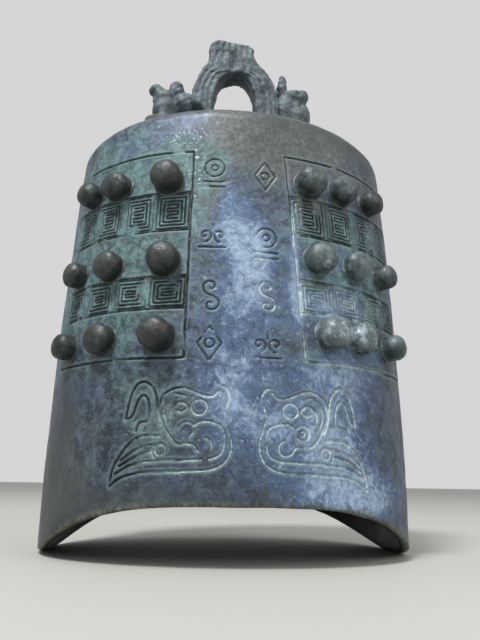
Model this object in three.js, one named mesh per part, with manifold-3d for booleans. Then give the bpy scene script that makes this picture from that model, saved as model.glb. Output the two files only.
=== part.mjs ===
// Antique-style bronze temple bell: an almond-oval hollow bell with an arched mouth, a domed
// crown, a suspension loop between two crouching beasts, and four fields of nine bosses.
// Millimetres, +Z up. The origin is the middle of the mouth, level with its two low tips.
// The front faces -Y, and the back is the same bell face turned half a turn about Z.

import * as THREE from 'three';
import { mergeVertices } from 'three/addons/utils/BufferGeometryUtils.js';
import Module from 'manifold-3d';

// ---- bell body ----
const MOUTH_HALF_WIDTH = 74.5;
const MOUTH_HALF_DEPTH = 68.4;
const CROWN_HALF_WIDTH = 69.4;
const CROWN_HALF_DEPTH = 54.6;
const CROWN_EDGE_HEIGHT = 173; // at the middle of the front and back
const CROWN_EDGE_DROP = 4; // how far the crown's edge falls to the two sides
const SIDE_BOW = 2; // outward bow of the sides at mid height
const OVAL_POWER = 2.146; // 2 is an ellipse, more is boxier
const WALL = 3.8;
const MOUTH_ARCH = 19.3; // rise of the rim above its two tips
const ARCH_POWER = 3.7; // 2 is a parabola, more is flatter in the middle and steeper at the tips
const TIP_LAND_HALF_DEPTH = 8; // the flat at each tip that the bell stands on

// ---- crown ----
const CROWN_RISE = 18; // dome height above the crown's edge
const DOME_POWER = 2.4; // 2 is a parabola, more is flatter on top
const CROWN_THICKNESS = 5;
const SHOULDER_RADIUS = 3.5;

// ---- bosses: three rows of three in each of four fields ----
// Set by hand, so the two sides differ. Angles are radians of the oval's parameter from the
// middle of the face, one row of bosses to a line.
const BOSS_FIELDS = {
  left: {
    heights: [140, 105.5, 76.2],
    angles: [
      [0.382, 0.711, 0.94],
      [0.371, 0.706, 0.995],
      [0.375, 0.706, 1.01],
    ],
  },
  right: {
    heights: [141.2, 109, 79.5],
    angles: [
      [0.345, 0.565, 0.83],
      [0.38, 0.63, 0.9],
      [0.425, 0.62, 0.93],
    ],
  },
};
// Each column's boss radius and height, from the middle of the face outward.
const BOSS_SIZES = [
  [6.1, 9.5],
  [5.85, 7.6],
  [5.2, 7.8],
];

// ---- plinth, loop and beasts on the crown ----
const PLINTH_HALF_LENGTH = 44.5;
const PLINTH_HALF_DEPTH = 12;
const PLINTH_TOP = 198.5;
const PLINTH_FLARE = 1.06; // its foot is this much larger than its top
const PLINTH_BEDDING = 0.45; // between the plinth's underside and the dome
const LOOP_HEIGHT = 49.5; // above the plinth
const LOOP_DEPTH = 13;
const LOOP_HALF_SPAN = 22.5; // over the two legs
const LOOP_TOP_HALF_WIDTH = 12;
const EYE_HALF_WIDTH = 11;
const EYE_HEIGHT = 31;

const GAP = 0.3; // between neighbouring pieces
const RING_STEPS = 72;

const wasm = await Module();
wasm.setup();

// ---- materials ----
const bronze = (color, roughness) => new THREE.MeshStandardMaterial({ color, roughness, metalness: 0.6 });
const patinaBronze = bronze(0x56645f, 0.62);
const crownBronze = bronze(0x565a46, 0.6);
const loopBronze = bronze(0x4c5754, 0.5);
const bossBronze = bronze(0x3b3a36, 0.5);

// ---- helpers ----
const signedPower = (value, power) => Math.sign(value) * Math.abs(value) ** power;

// A point of the oval section with the given half axes; angle 0 is the middle of the front.
function ovalPoint(angle, halfWidth, halfDepth) {
  const power = 2 / OVAL_POWER;
  return [halfWidth * signedPower(Math.sin(angle), power), -halfDepth * signedPower(Math.cos(angle), power)];
}

function bodyHalfWidth(height) {
  const s = height / CROWN_EDGE_HEIGHT;
  return MOUTH_HALF_WIDTH + (CROWN_HALF_WIDTH - MOUTH_HALF_WIDTH) * s + SIDE_BOW * 4 * s * (1 - s);
}

function bodyHalfDepth(height) {
  const s = height / CROWN_EDGE_HEIGHT;
  return MOUTH_HALF_DEPTH + (CROWN_HALF_DEPTH - MOUTH_HALF_DEPTH) * s;
}

function wallPoint(angle, height, inset = 0) {
  const [x, y] = ovalPoint(angle, bodyHalfWidth(height) - inset, bodyHalfDepth(height) - inset);
  return new THREE.Vector3(x, y, height);
}

// Closed mesh through a stack of equal rings. The stack either wraps round to its first ring or
// is closed by a point at each end.
function ringMesh(rings, endPoints = null) {
  const count = rings[0].length;
  const positions = rings.flat().flatMap((p) => [p.x, p.y, p.z]);
  const indices = [];
  const spans = endPoints ? rings.length - 1 : rings.length;
  for (let r = 0; r < spans; r++) {
    const here = r * count;
    const next = ((r + 1) % rings.length) * count;
    for (let i = 0; i < count; i++) {
      const j = (i + 1) % count;
      indices.push(here + i, here + j, next + j, here + i, next + j, next + i);
    }
  }
  if (endPoints) {
    const first = rings.length * count;
    const lastRing = (rings.length - 1) * count;
    endPoints.forEach((p) => positions.push(p.x, p.y, p.z));
    for (let i = 0; i < count; i++) {
      const j = (i + 1) % count;
      indices.push(first, j, i, first + 1, lastRing + i, lastRing + j);
    }
  }
  const geometry = new THREE.BufferGeometry();
  geometry.setAttribute('position', new THREE.Float32BufferAttribute(positions, 3));
  geometry.setIndex(indices);
  geometry.computeVertexNormals();
  return geometry;
}

const ringAngles = (steps) => Array.from({ length: steps }, (_, i) => (i / steps) * 2 * Math.PI);

function toManifold(geometry) {
  const bare = geometry.clone();
  bare.deleteAttribute('normal');
  bare.deleteAttribute('uv');
  const merged = mergeVertices(bare, 1e-4);
  const vertProperties = new Float32Array(merged.attributes.position.array);
  const triVerts = new Uint32Array(merged.index.array);
  return new wasm.Manifold(new wasm.Mesh({ numProp: 3, vertProperties, triVerts }));
}

function fromManifold(solid) {
  const mesh = solid.getMesh();
  const geometry = new THREE.BufferGeometry();
  geometry.setAttribute('position', new THREE.BufferAttribute(mesh.vertProperties, 3));
  geometry.setIndex(new THREE.BufferAttribute(mesh.triVerts, 1));
  geometry.computeVertexNormals();
  return geometry;
}

// ---- bell body: the hollow wall from the arched rim to the crown's seat ----
function rimHeight(angle) {
  const rise = (across) => 1 - Math.abs(across) ** ARCH_POWER;
  const landEdge = (1 - (TIP_LAND_HALF_DEPTH / MOUTH_HALF_DEPTH) ** OVAL_POWER) ** (1 / OVAL_POWER);
  const land = rise(landEdge);
  return (MOUTH_ARCH * Math.max(0, rise(ovalPoint(angle, 1, 1)[0]) - land)) / (1 - land);
}

function crownEdgeHeight(angle) {
  const across = ovalPoint(angle, 1, 1)[0];
  return CROWN_EDGE_HEIGHT - CROWN_EDGE_DROP * across ** 2;
}

const seatHeight = (angle) => crownEdgeHeight(angle) - CROWN_THICKNESS - SHOULDER_RADIUS;

function bellBody() {
  const levels = 6;
  const ringAt = (fraction, inset) =>
    ringAngles(RING_STEPS).map((angle) => {
      const low = rimHeight(angle);
      return wallPoint(angle, low + (seatHeight(angle) - low) * fraction, inset);
    });
  const fractions = Array.from({ length: levels + 1 }, (_, k) => k / levels);
  const outer = fractions.map((f) => ringAt(f, 0));
  const inner = fractions.reverse().map((f) => ringAt(f, WALL));
  return ringMesh([...outer, ...inner]);
}

// ---- crown: a domed lid with a rounded shoulder ----
function crownHeight(x, y) {
  const across = Math.abs(x) / CROWN_HALF_WIDTH;
  const radius = across ** OVAL_POWER + (Math.abs(y) / CROWN_HALF_DEPTH) ** OVAL_POWER;
  const dome = CROWN_RISE * (1 - radius ** (DOME_POWER / OVAL_POWER));
  return CROWN_EDGE_HEIGHT + dome - CROWN_EDGE_DROP * across ** 2;
}

function crownRing(inset, drop) {
  return ringAngles(RING_STEPS).map((angle) => {
    const [x, y] = ovalPoint(angle, CROWN_HALF_WIDTH - inset, CROWN_HALF_DEPTH - inset);
    return new THREE.Vector3(x, y, crownHeight(x, y) - drop);
  });
}

function crownPlate() {
  const seat = (inset) =>
    ringAngles(RING_STEPS).map((angle) => wallPoint(angle, seatHeight(angle) + GAP, inset));
  const underside = [40, 24, 10].map((inset) => crownRing(inset, CROWN_THICKNESS));
  const shoulder = [0, 0.33, 0.67, 1].map((part) => {
    const turn = (part * Math.PI) / 2;
    return crownRing(SHOULDER_RADIUS * (1 - Math.cos(turn)), SHOULDER_RADIUS * (1 - Math.sin(turn)));
  });
  const top = [12, 24, 38].map((inset) => crownRing(inset, 0));
  const ends = [
    new THREE.Vector3(0, 0, crownHeight(0, 0) - CROWN_THICKNESS),
    new THREE.Vector3(0, 0, crownHeight(0, 0)),
  ];
  return ringMesh([...underside, seat(WALL), seat(0), ...shoulder, ...top], ends);
}

// ---- plinth: a bar with rounded corners bedded on the dome ----
function plinth() {
  const outline = (scale, height) =>
    ringAngles(72).map((angle) => {
      const x = PLINTH_HALF_LENGTH * signedPower(Math.sin(angle), 0.25) * scale;
      const y = -PLINTH_HALF_DEPTH * signedPower(Math.cos(angle), 0.3) * scale;
      return new THREE.Vector3(x, y, height ?? crownHeight(x, y) + PLINTH_BEDDING);
    });
  const underside = [0.15, 0.3, 0.45, 0.6, 0.75, 0.88, 1].map((part) => outline(part * PLINTH_FLARE));
  const edge = 1.5;
  const sides = [outline(1, PLINTH_TOP - 2 * edge), outline(0.985, PLINTH_TOP - edge / 3)];
  const ends = [crownHeight(0, 0) + PLINTH_BEDDING, PLINTH_TOP].map((z) => new THREE.Vector3(0, 0, z));
  return ringMesh([...underside, ...sides, outline(0.96, PLINTH_TOP)], ends);
}

// ---- suspension loop: an arch with flared legs, its left foot hollowed on the outside ----
function loopOutline() {
  const foot = PLINTH_TOP + GAP;
  const top = PLINTH_TOP + LOOP_HEIGHT;
  const eyeTop = PLINTH_TOP + EYE_HEIGHT;
  const legHeight = LOOP_HEIGHT * 0.34;
  const shoulder = foot + LOOP_HEIGHT * 0.66;
  const waist = foot + LOOP_HEIGHT * 0.76;
  const hollowTop = foot + LOOP_HEIGHT * 0.24;
  const strut = -EYE_HALF_WIDTH - 3.4;
  const outline = new THREE.Shape();
  outline.moveTo(-EYE_HALF_WIDTH, foot);
  outline.bezierCurveTo(-EYE_HALF_WIDTH, eyeTop - 6, -7, eyeTop, 0, eyeTop);
  outline.bezierCurveTo(7, eyeTop, EYE_HALF_WIDTH, eyeTop - 6, EYE_HALF_WIDTH, foot);
  outline.lineTo(LOOP_HALF_SPAN, foot);
  outline.lineTo(LOOP_HALF_SPAN, foot + legHeight);
  outline.quadraticCurveTo(20, shoulder, LOOP_TOP_HALF_WIDTH - 1, waist);
  outline.lineTo(LOOP_TOP_HALF_WIDTH - 1.5, top - 3);
  outline.quadraticCurveTo(LOOP_TOP_HALF_WIDTH - 2, top - 1.2, 6, top - 0.6);
  outline.quadraticCurveTo(-2, top, -6, top);
  outline.quadraticCurveTo(-LOOP_TOP_HALF_WIDTH, top - 0.6, -LOOP_TOP_HALF_WIDTH - 1, top - 3);
  outline.lineTo(-LOOP_TOP_HALF_WIDTH - 1.5, waist);
  outline.quadraticCurveTo(-20, shoulder, -LOOP_HALF_SPAN, foot + legHeight);
  outline.lineTo(-LOOP_HALF_SPAN, hollowTop);
  outline.quadraticCurveTo(strut, hollowTop, strut, foot);
  return outline;
}

function suspensionLoop() {
  const bevel = 1.4;
  const geometry = new THREE.ExtrudeGeometry(loopOutline(), {
    depth: LOOP_DEPTH - 2 * bevel,
    curveSegments: 10,
    bevelThickness: bevel,
    bevelSize: bevel,
    bevelOffset: -bevel,
    bevelSegments: 2,
  });
  geometry.rotateX(Math.PI / 2);
  geometry.translate(0, LOOP_DEPTH / 2 - bevel, 0);
  return geometry;
}

// ---- beasts: crouching figures that look outward from the loop's feet ----
// Each volume: distance from the middle, side offset, height above the plinth, three radii.
const LEFT_BEAST = [
  [39.9, 0, 20, 3.5, 4.3, 3], // muzzle
  [34.4, 0, 15, 7, 5.8, 4.8], // head
  [34.5, 0, 8.8, 6.4, 6.2, 9], // neck and chest
  [34.4, 0, 1.4, 6.4, 6.8, 4], // forefeet
  [29.4, -2.6, 19.8, 3.7, 2.5, 4.7], // ears
  [29.4, 2.6, 19.8, 3.7, 2.5, 4.7],
  [25, 0, 13.2, 7.5, 5.8, 6.6], // back, arching clear of the plinth
];
const RIGHT_BEAST = [
  [35.4, 0, 22.8, 3.3, 4.2, 3.5],
  [30.4, 0, 20.6, 6.6, 5.6, 5],
  [33, 0, 10.3, 6.3, 6.2, 10.5],
  [32.8, 0, 1.6, 6.6, 6.8, 4],
  [24.6, -2.6, 26.6, 2.5, 2.1, 6.1],
  [24.6, 2.6, 26.6, 2.5, 2.1, 6.1],
  [26.5, 0, 10.8, 6.5, 6, 12.5], // rump, sitting on the plinth
];

function ellipsoid(x, y, z, radiusX, radiusY, radiusZ) {
  const geometry = new THREE.SphereGeometry(1, 14, 9);
  geometry.scale(radiusX, radiusY, radiusZ);
  geometry.translate(x, y, z);
  return toManifold(geometry);
}

function slab(lowX, highX, lowZ, highZ) {
  const geometry = new THREE.BoxGeometry(highX - lowX, 60, highZ - lowZ);
  geometry.translate((lowX + highX) / 2, 0, (lowZ + highZ) / 2);
  return toManifold(geometry);
}

// Built looking toward +X, and cut off at the loop's leg and at the plinth.
function beast(volumes) {
  const foot = PLINTH_TOP + GAP;
  const inner = LOOP_HALF_SPAN + GAP;
  const whole = volumes
    .map(([x, y, z, ...radii]) => ellipsoid(x, y, foot + z, ...radii))
    .reduce((sum, piece) => sum.add(piece));
  const trimmed = whole.subtract(slab(-40, inner, 100, 300)).subtract(slab(-40, 100, 100, foot));
  return fromManifold(trimmed);
}

const rightBeast = () => beast(RIGHT_BEAST);

function leftBeast() {
  const geometry = beast(LEFT_BEAST);
  geometry.rotateZ(Math.PI);
  return geometry;
}

// ---- bosses ----
// A rounded knob with nearly straight sides.
function boss(radius, height) {
  const profile = [
    [0, 0],
    [0.94, 0],
    [0.94, 0.25],
    [0.98, 0.45],
    [0.98, 0.6],
    [0.88, 0.78],
    [0.66, 0.91],
    [0.3, 0.985],
    [0, 1],
  ].map(([across, along]) => new THREE.Vector2(across * radius, along * height));
  return new THREE.LatheGeometry(profile, 10);
}

function bossNormal(angle, height) {
  const step = 0.01;
  const around = wallPoint(angle + step, height).sub(wallPoint(angle - step, height));
  const upward = wallPoint(angle, height + 1).sub(wallPoint(angle, height - 1));
  return around.cross(upward).normalize();
}

function placeBoss(mesh, angle, height) {
  const normal = bossNormal(angle, height);
  mesh.quaternion.setFromUnitVectors(new THREE.Vector3(0, 1, 0), normal);
  mesh.position.copy(wallPoint(angle, height)).addScaledVector(normal, GAP);
}

function bosses() {
  const group = new THREE.Group();
  for (const [face, turn] of [['front', 0], ['back', Math.PI]]) {
    for (const [side, sign] of [['left', -1], ['right', 1]]) {
      BOSS_FIELDS[side].heights.forEach((height, row) =>
        BOSS_FIELDS[side].angles[row].forEach((angle, column) => {
          const mesh = new THREE.Mesh(boss(...BOSS_SIZES[column]), bossBronze.clone());
          mesh.name = `boss_${face}_${side}_row${row + 1}_col${column + 1}`;
          placeBoss(mesh, sign * angle + turn, height);
          group.add(mesh);
        }),
      );
    }
  }
  return group;
}

// ---- the bell ----
function named(name, geometry, material) {
  const mesh = new THREE.Mesh(geometry, material);
  mesh.name = name;
  return mesh;
}

const bell = new THREE.Group();
bell.add(
  named('bell_body', bellBody(), patinaBronze),
  named('crown_plate', crownPlate(), crownBronze),
  named('loop_plinth', plinth(), crownBronze.clone()),
  named('suspension_loop', suspensionLoop(), loopBronze),
  named('left_beast', leftBeast(), loopBronze.clone()),
  named('right_beast', rightBeast(), loopBronze.clone()),
  bosses(),
);

export default bell;
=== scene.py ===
"""Looks of the bronze temple bell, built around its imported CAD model.

Shapes are worked out in millimetres in the part's frame (+Z up, front facing -Y, origin in the
middle of the mouth) and written to the meshes in metres.
"""

import itertools
import math

import bpy
import mathutils
import numpy as np
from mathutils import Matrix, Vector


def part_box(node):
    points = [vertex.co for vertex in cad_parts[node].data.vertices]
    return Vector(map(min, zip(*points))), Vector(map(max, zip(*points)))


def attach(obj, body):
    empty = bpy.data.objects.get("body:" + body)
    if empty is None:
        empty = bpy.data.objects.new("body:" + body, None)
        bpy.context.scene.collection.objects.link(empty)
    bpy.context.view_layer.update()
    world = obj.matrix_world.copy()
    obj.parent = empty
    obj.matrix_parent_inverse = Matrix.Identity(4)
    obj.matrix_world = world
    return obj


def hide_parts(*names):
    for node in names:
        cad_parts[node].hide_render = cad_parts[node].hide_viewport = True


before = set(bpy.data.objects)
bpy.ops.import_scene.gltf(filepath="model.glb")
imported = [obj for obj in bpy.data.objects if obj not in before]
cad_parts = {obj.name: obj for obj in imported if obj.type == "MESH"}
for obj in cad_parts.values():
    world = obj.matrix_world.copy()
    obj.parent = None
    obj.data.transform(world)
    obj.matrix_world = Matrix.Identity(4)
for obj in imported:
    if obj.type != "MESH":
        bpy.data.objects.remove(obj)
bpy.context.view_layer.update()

MM = 0.001

# ---- driving sizes of the CAD model, in millimetres ----
MOUTH_HALF_WIDTH, MOUTH_HALF_DEPTH = 74.5, 68.4
CROWN_HALF_WIDTH, CROWN_HALF_DEPTH = 69.4, 54.6
CROWN_EDGE_HEIGHT, CROWN_EDGE_DROP = 173.0, 4.0
CROWN_RISE, DOME_POWER, CROWN_THICKNESS = 18.0, 2.4, 5.0
SIDE_BOW = 2.0
OVAL_POWER = 2.146
WALL = 3.8
MOUTH_ARCH, ARCH_POWER, TIP_LAND_HALF_DEPTH = 19.3, 3.7, 8.0
SEAT_DROP = 8.5  # the crown's seam below its edge
SHOULDER_RADIUS = 3.5
# Each row's height, and its angles from the middle of the face. They are fitted values, rounded,
# and the two sides differ. The CAD model has the same ones.
BOSS_FIELDS = {
    "left": ((140.0, (0.382, 0.711, 0.94)), (105.5, (0.371, 0.706, 0.995)), (76.2, (0.375, 0.706, 1.01))),
    "right": ((141.2, (0.345, 0.565, 0.83)), (109.0, (0.38, 0.63, 0.9)), (79.5, (0.425, 0.62, 0.93))),
}
BOSS_SIZES = ((6.1, 9.5), (5.85, 7.6), (5.2, 7.8))  # radius and height in each column
PLINTH_HALF_LENGTH, PLINTH_HALF_DEPTH, PLINTH_FLARE = 44.5, 12.0, 1.06
PLINTH_CORNERS = 0.25, 0.3  # powers of its outline along x and y; 1 is an ellipse, less is boxier
LOOP_HALF_SPAN, LOOP_DEPTH = 22.5, 13.0
EYE_HALF_WIDTH, EYE_HEIGHT = 11.0, 31.0

PLINTH_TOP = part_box("loop_plinth")[1].z / MM
LOOP_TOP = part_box("suspension_loop")[1].z / MM

# ---- engraving ----
PANEL_INNER, SQUARE_WIDTH, SQUARES = 20.0, 14.45, 4
PANEL_TOP, PANEL_BOTTOM = 153.0, 68.7
FRET_BANDS = ((118.6, 135.0), (87.2, 99.9))
FRET_EDGE, FRET_PITCH = 0.8, 1.45  # from a square's border to its first line, and between lines
PANEL_LEAN = {-1: (0.0, 0.0), 1: (-2.6, 2.6)}  # the panel's inner edge at its top and bottom
GROOVE_REACH, GROOVE_CORE = 0.47, 0.1  # distance from a line's middle where it ends, and its floor
GROOVE_DEPTH = 0.55
LIP_SHARE = 0.14  # a line's raised lips as a share of its depth


# ---- numeric helpers ----
def smoothstep(low, high, value):
    part = np.clip((value - low) / (high - low), 0.0, 1.0)
    return part * part * (3 - 2 * part)


def signed_power(value, power):
    return np.sign(value) * np.abs(value) ** power


def value_noise(points, scale, seed):
    """Smooth noise from 0 to 1 at points (N, 3), with features about scale across."""
    table = np.random.RandomState(seed).rand(32, 32, 32)
    place = points / scale
    cell = np.floor(place).astype(int)
    part = place - cell
    part = part * part * (3 - 2 * part)
    total = np.zeros(len(points))
    for corner in np.ndindex(2, 2, 2):
        index = (cell + corner) % 32
        weight = np.prod(np.where(np.array(corner) == 1, part, 1 - part), axis=1)
        total += weight * table[index[:, 0], index[:, 1], index[:, 2]]
    return total


def layered_noise(points, scale, seed, layers=3):
    total, weight = np.zeros(len(points)), 0.0
    for layer in range(layers):
        share = 0.55**layer
        total += share * value_noise(points, scale / 2**layer, seed + layer)
        weight += share
    return total / weight


# ---- the bell's surface ----
def oval(angle, half_width, half_depth):
    power = 2 / OVAL_POWER
    x = half_width * signed_power(np.sin(angle), power)
    return x, -half_depth * signed_power(np.cos(angle), power)


def half_width(z):
    s = z / CROWN_EDGE_HEIGHT
    return MOUTH_HALF_WIDTH + (CROWN_HALF_WIDTH - MOUTH_HALF_WIDTH) * s + SIDE_BOW * 4 * s * (1 - s)


def half_depth(z):
    s = z / CROWN_EDGE_HEIGHT
    return MOUTH_HALF_DEPTH + (CROWN_HALF_DEPTH - MOUTH_HALF_DEPTH) * s


def wall_point(angle, z, inset=0.0):
    x, y = oval(angle, half_width(z) - inset, half_depth(z) - inset)
    return np.stack([x, y, z + 0 * x], axis=-1)


def wall_normal(angle, z):
    step = 1e-3
    around = wall_point(angle + step, z) - wall_point(angle - step, z)
    upward = wall_point(angle, z + 0.5) - wall_point(angle, z - 0.5)
    normal = np.cross(around, upward)
    return normal / np.linalg.norm(normal, axis=-1, keepdims=True)


def rim_height(angle):
    def rise(across):
        return 1 - np.abs(across) ** ARCH_POWER

    land = rise((1 - (TIP_LAND_HALF_DEPTH / MOUTH_HALF_DEPTH) ** OVAL_POWER) ** (1 / OVAL_POWER))
    return MOUTH_ARCH * np.maximum(0, rise(oval(angle, 1, 1)[0]) - land) / (1 - land)


def seam_height(angle):
    across = oval(angle, 1, 1)[0]
    return CROWN_EDGE_HEIGHT - CROWN_EDGE_DROP * across**2 - SEAT_DROP


def crown_height(x, y):
    across = np.abs(x) / CROWN_HALF_WIDTH
    radius = across**OVAL_POWER + (np.abs(y) / CROWN_HALF_DEPTH) ** OVAL_POWER
    dome = CROWN_RISE * (1 - radius ** (DOME_POWER / OVAL_POWER))
    return CROWN_EDGE_HEIGHT + dome - CROWN_EDGE_DROP * across**2


# Distance around the oval from the middle of the front, measured at one height, and back.
ARC_HEIGHT = 115.0
_angles = np.linspace(-math.pi, math.pi, 40001)
_ring = wall_point(_angles, np.full(_angles.shape, ARC_HEIGHT))
_arcs = np.concatenate([[0], np.cumsum(np.linalg.norm(np.diff(_ring, axis=0), axis=1))])
_arcs -= _arcs[len(_arcs) // 2]
GIRTH = 2 * _arcs[-1]


def angle_at(arc):
    return np.interp(arc, _arcs, _angles)


def face_arc(arc):
    """The same place counted from the middle of whichever face it is on."""
    return (arc + GIRTH / 4) % (GIRTH / 2) - GIRTH / 4


# ---- engraved lines, as (arc, height) outlines on one face ----
def smooth_line(points, steps=8):
    """Catmull-Rom curve through the points."""
    p = np.array(points, float)
    p = np.vstack([2 * p[0] - p[1], p, 2 * p[-1] - p[-2]])
    t = np.linspace(0, 1, steps, endpoint=False)[:, None]
    spans = []
    for a, b, c, d in zip(p[:-3], p[1:-2], p[2:-1], p[3:]):
        bend = (2 * a - 5 * b + 4 * c - d) * t**2
        spans.append(0.5 * (2 * b + (c - a) * t + bend + (3 * b - a - 3 * c + d) * t**3))
    return np.vstack(spans + [p[-2:-1]])


def circle(x, z, radius):
    turn = np.linspace(0, 2 * math.pi, 25)
    return np.stack([x + radius * np.cos(turn), z + radius * np.sin(turn)], axis=1)


def spiral(x, z, radius, turns, start, hand):
    """Opens from its middle to the radius, ending at the start angle."""
    part = np.linspace(0.12, 1, int(16 * turns) + 1)
    turn = start + hand * 2 * math.pi * turns * (part - 1)
    return np.stack([x + radius * part * np.cos(turn), z + radius * part * np.sin(turn)], axis=1)


def rectangle(x, z, half_x, half_z):
    corners = [(-1, -1), (1, -1), (1, 1), (-1, 1), (-1, -1)]
    return np.array([(x + half_x * a, z + half_z * b) for a, b in corners])


def fret_square(x, z, half_z, side):
    """Nested rectangles around a folded line, as in a thunder fret."""
    half_x = SQUARE_WIDTH / 2
    insets = [FRET_EDGE + FRET_PITCH * line for line in range(4)]
    lines = [rectangle(x, z, half_x - inset, half_z - inset) for inset in insets[:3]]
    reach_x, reach_z = half_x - insets[3], half_z - insets[3]
    bars = 2 * round(reach_z / FRET_PITCH) + 1
    folded = []
    for bar, height in enumerate(np.linspace(-reach_z, reach_z, bars)):
        ends = (-1, 1) if bar % 2 == 0 else (1, -1)
        folded += [(x + side * end * reach_x, z + height) for end in ends]
    return lines + [np.array(folded)]


def panel_lines(side):
    outer = PANEL_INNER + SQUARES * SQUARE_WIDTH
    middle = side * (PANEL_INNER + outer) / 2
    half = (outer - PANEL_INNER) / 2
    lines = [rectangle(middle, (PANEL_TOP + PANEL_BOTTOM) / 2, half, (PANEL_TOP - PANEL_BOTTOM) / 2)]
    for low, high in FRET_BANDS:
        for z in (low, high):
            lines.append(np.array([(side * PANEL_INNER, z), (side * outer, z)]))
        for k in range(SQUARES):
            x = side * (PANEL_INNER + SQUARE_WIDTH * (k + 0.5))
            lines += fret_square(x, (low + high) / 2, (high - low) / 2, side)
    return [leaned(line, side) for line in lines]


def leaned(line, side):
    """Slants the panel's inner edge, fading to nothing at its outer edge."""
    at_top, at_bottom = PANEL_LEAN[side]
    down = (PANEL_TOP - line[:, 1]) / (PANEL_TOP - PANEL_BOTTOM)
    inward = 1 - (np.abs(line[:, 0]) - PANEL_INNER) / (SQUARES * SQUARE_WIDTH)
    shift = (at_top + (at_bottom - at_top) * down) * inward
    return line + np.stack([shift, 0 * shift], axis=1)


def ring_sign(x, z):
    """A ring with a bead, over two bars."""
    bars = [np.array([(x - 4.4, z - h), (x + 4.4, z - h)]) for h in (3.6, 5.9)]
    return [circle(x, z + 2.6, 3.9), circle(x, z + 2.6, 1.3)] + bars


def cloud_sign(x, z):
    """Two curls back to back on a bar."""
    curls = [spiral(x + s * 2.9, z + 1.6, 2.8, 1.3, -math.pi / 2, s) for s in (-1, 1)]
    bar = np.array([(x - 5.0, z - 3.2), (x + 5.0, z - 3.2)])
    return curls + [bar, np.array([(x, z + 3.4), (x, z + 6.2)])]


def scroll_sign(x, z):
    """An upright S of two spirals."""
    upper = spiral(x, z + 3.5, 3.5, 1.25, -math.pi / 2, 1)
    lower = spiral(x, z - 3.5, 3.5, 1.25, math.pi / 2, 1)
    return [upper, lower]


def lozenge_sign(x, z):
    """A lozenge around a bead."""
    corners = [(0, 6.2), (4.2, 0), (0, -6.2), (-4.2, 0), (0, 6.2)]
    return [np.array([(x + a, z + b) for a, b in corners]), circle(x, z, 1.6)]


def middle_signs():
    """Two columns of plain ornaments where the strip between the panels is engraved."""
    columns = (
        (-11.3, ((143.0, ring_sign), (114.5, cloud_sign), (92.0, scroll_sign), (74.0, lozenge_sign))),
        (8.9, ((143.0, lozenge_sign), (113.5, ring_sign), (92.5, scroll_sign), (72.5, cloud_sign))),
    )
    return [line for x, signs in columns for z, sign in signs for line in sign(x, z)]


# The beast motif of the striking zone, in millimetres from its outer lower corner; the middle
# of the bell lies toward +x.
MOTIF_CORNER = {-1: (-43.4, 25.4), 1: (-46.0, 25.0)}
MOTIF_CURVES = (
    # base, breast and neck
    ((0.0, 0.0), (3.3, 2.4), (9.2, 4.2), (17.5, 4.7), (25.8, 5.0), (32.5, 5.4), (36.7, 6.9), (39.3, 9.8),
     (40.2, 13.8), (39.3, 17.9), (37.9, 22.8), (38.3, 26.0), (39.3, 29.3), (38.3, 32.4), (36.8, 33.2)),
    # back of the tail
    ((0.0, 1.4), (0.8, 5.7), (2.9, 9.8), (6.3, 13.8), (10.8, 16.4), (16.7, 16.3)),
    # plumes of the tail
    ((3.3, 8.1), (9.0, 12.0), (15.8, 13.6)),
    ((2.9, 6.3), (9.2, 9.8), (14.6, 11.4)),
    ((15.8, 13.6), (14.0, 11.9), (15.2, 9.3)),
    # inner line of the breast and jaw
    ((1.7, 3.9), (7.5, 6.9), (15.8, 8.2), (24.2, 8.5), (30.0, 8.6), (34.2, 9.2), (37.1, 11.2),
     (37.9, 15.4), (37.1, 19.3), (34.2, 20.9), (30.4, 21.2), (27.9, 19.8)),
    # crest
    ((17.5, 20.3), (15.9, 24.4), (16.7, 29.3), (19.2, 31.7), (22.5, 32.7), (25.8, 32.1), (29.2, 30.5),
     (33.3, 29.7), (35.8, 31.7)),
    ((18.9, 20.6), (17.7, 24.6), (18.9, 28.6), (21.7, 30.6), (25.0, 29.8)),
    # cheek
    ((17.5, 20.3), (20.0, 16.3), (22.5, 13.9), (25.8, 13.8), (27.9, 13.3), (29.4, 11.4), (32.0, 10.6),
     (33.6, 12.4), (33.2, 14.8), (31.6, 15.8)),
    # brow
    ((19.9, 22.6), (20.3, 25.4), (22.0, 27.4), (24.1, 27.6), (25.6, 25.8), (23.8, 24.4), (22.2, 24.9)),
    # ear
    ((4.2, 22.0), (5.0, 26.8), (6.3, 31.7), (8.4, 34.5), (11.6, 34.5), (14.1, 31.5), (15.2, 26.8),
     (15.8, 22.4), (17.5, 18.7)),
    ((4.2, 22.0), (6.5, 23.0), (7.8, 26.8), (9.2, 29.6), (10.9, 29.8), (12.4, 26.8), (12.5, 21.6),
     (9.4, 20.7), (8.4, 17.9)),
)
MOTIF_RINGS = ((17.1, 12.0, 1.8), (25.4, 18.5, 2.5), (25.4, 18.5, 0.8), (29.4, 26.0, 2.6))


def motif_lines(side):
    curves = [smooth_line(points) for points in MOTIF_CURVES]
    curves += [circle(*ring) for ring in MOTIF_RINGS]
    x, z = MOTIF_CORNER[side]
    return [(curve + (x, z)) * (-side, 1) for curve in curves]


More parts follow.
